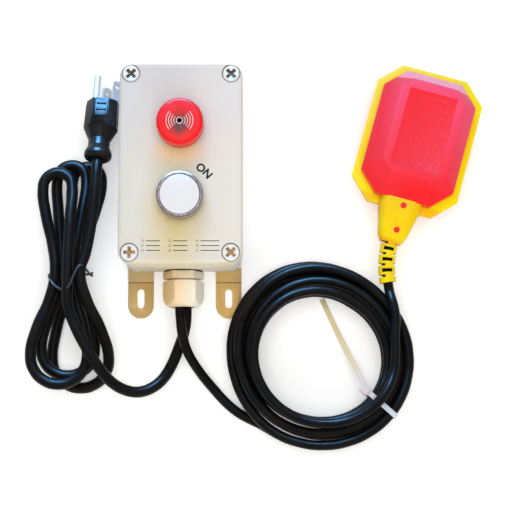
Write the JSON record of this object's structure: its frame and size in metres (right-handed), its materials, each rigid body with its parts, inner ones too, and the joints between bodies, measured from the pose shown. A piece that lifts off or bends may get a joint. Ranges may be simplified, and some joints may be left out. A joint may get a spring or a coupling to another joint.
{
  "type": "sump pit level alarm with float switch",
  "caption": "Wall box with a red flashing sounder, a lit push button, two mounting lugs, a hanked power cord with plug, and a coiled cable to a yellow and red float switch.",
  "frame": {"origin": "centre of the enclosure's back face, on the plane that everything lies on", "axes": "+Z out of the lid, +Y along the enclosure away from the cable gland, +X to the right, towards the float"},
  "size_m": [0.3077, 0.26, 0.086],
  "materials": {
    "shell": "fine texture",
    "seal": "soft",
    "screw_white": "moulded",
    "red_lens": "translucent",
    "black_plastic": "moulded",
    "board": "coated",
    "chrome": "polished",
    "white_lens": "translucent",
    "white_plastic": "moulded",
    "steel": "plain",
    "brass": "plated",
    "cord": "smooth jacket",
    "tie_black": "coated wire",
    "nickel": "plated",
    "nylon": "natural",
    "yellow": "moulded",
    "red": "moulded"
  },
  "bodies": {
    "housing": {"enclosure_base": "shell", "enclosure_lid": "shell", "lid_gasket": "seal", "lid_screws": "screw_white", "beacon_cap": "red_lens", "beacon_body": "black_plastic", "beacon_board": "board", "beacon_sounder": "black_plastic", "beacon_gasket": "seal", "beacon_nut": "black_plastic", "button_bezel": "chrome", "button_spring": "steel", "button_body": "black_plastic", "button_gasket": "seal", "button_nut": "black_plastic", "contact_block": "black_plastic", "terminal_block": "white_plastic", "terminal_screws": "steel", "gland_body": "white_plastic", "gland_washer": "seal", "gland_seal": "seal", "gland_nut": "white_plastic", "gland_locknut": "white_plastic", "lug_left": "brass", "lug_right": "brass", "lug_screws": "steel", "cord_jackets": "cord", "power_cord_lead": "cord", "power_cord_hank": "cord", "hank_tie": "tie_black", "plug_body": "cord", "plug_blades": "nickel", "plug_ground_pin": "nickel", "float_cable_lead": "cord", "float_cable_coil": "cord", "float_cable_tail": "cord", "coil_tie": "nylon"},
    "button": {"button_lens": "white_lens", "button_plunger": "white_plastic"},
    "float": {"float_frame": "yellow", "float_cover_upper": "red", "float_cover_lower": "red", "float_pins": "red", "cable_boot": "yellow", "boot_cable": "cord", "ball_track": "white_plastic", "microswitch": "black_plastic"},
    "ball": {"switch_ball": "steel"},
    "lever": {"switch_lever": "steel"}
  },
  "joints": [
    {"name": "button_press", "type": "slide", "parent": "housing", "child": "button", "axis": [0, 0, -1], "range_m": [0, 0.003], "stiffness_N_per_m": 500, "springref_m": -0.001, "deforming": ["button_spring"]},
    {"name": "float_tilt", "type": "hinge", "parent": "housing", "child": "float", "pos_m": [0.1387, -0.095, 0.0245], "axis": [1, 0, 0], "range_deg": [0, 90], "deforming": ["float_cable_tail"]},
    {"name": "ball_roll", "type": "slide", "parent": "float", "child": "ball", "axis": [0.2666, 0.9613, 0.0698], "range_m": [0, 0.024]},
    {"name": "lever_press", "type": "hinge", "parent": "float", "child": "lever", "pos_m": [0.1535, 0.00686, 0.0217], "axis": [0.9636, -0.2672, 0], "range_deg": [0, 8], "stiffness_Nm_per_rad": 0.002}
  ]
}
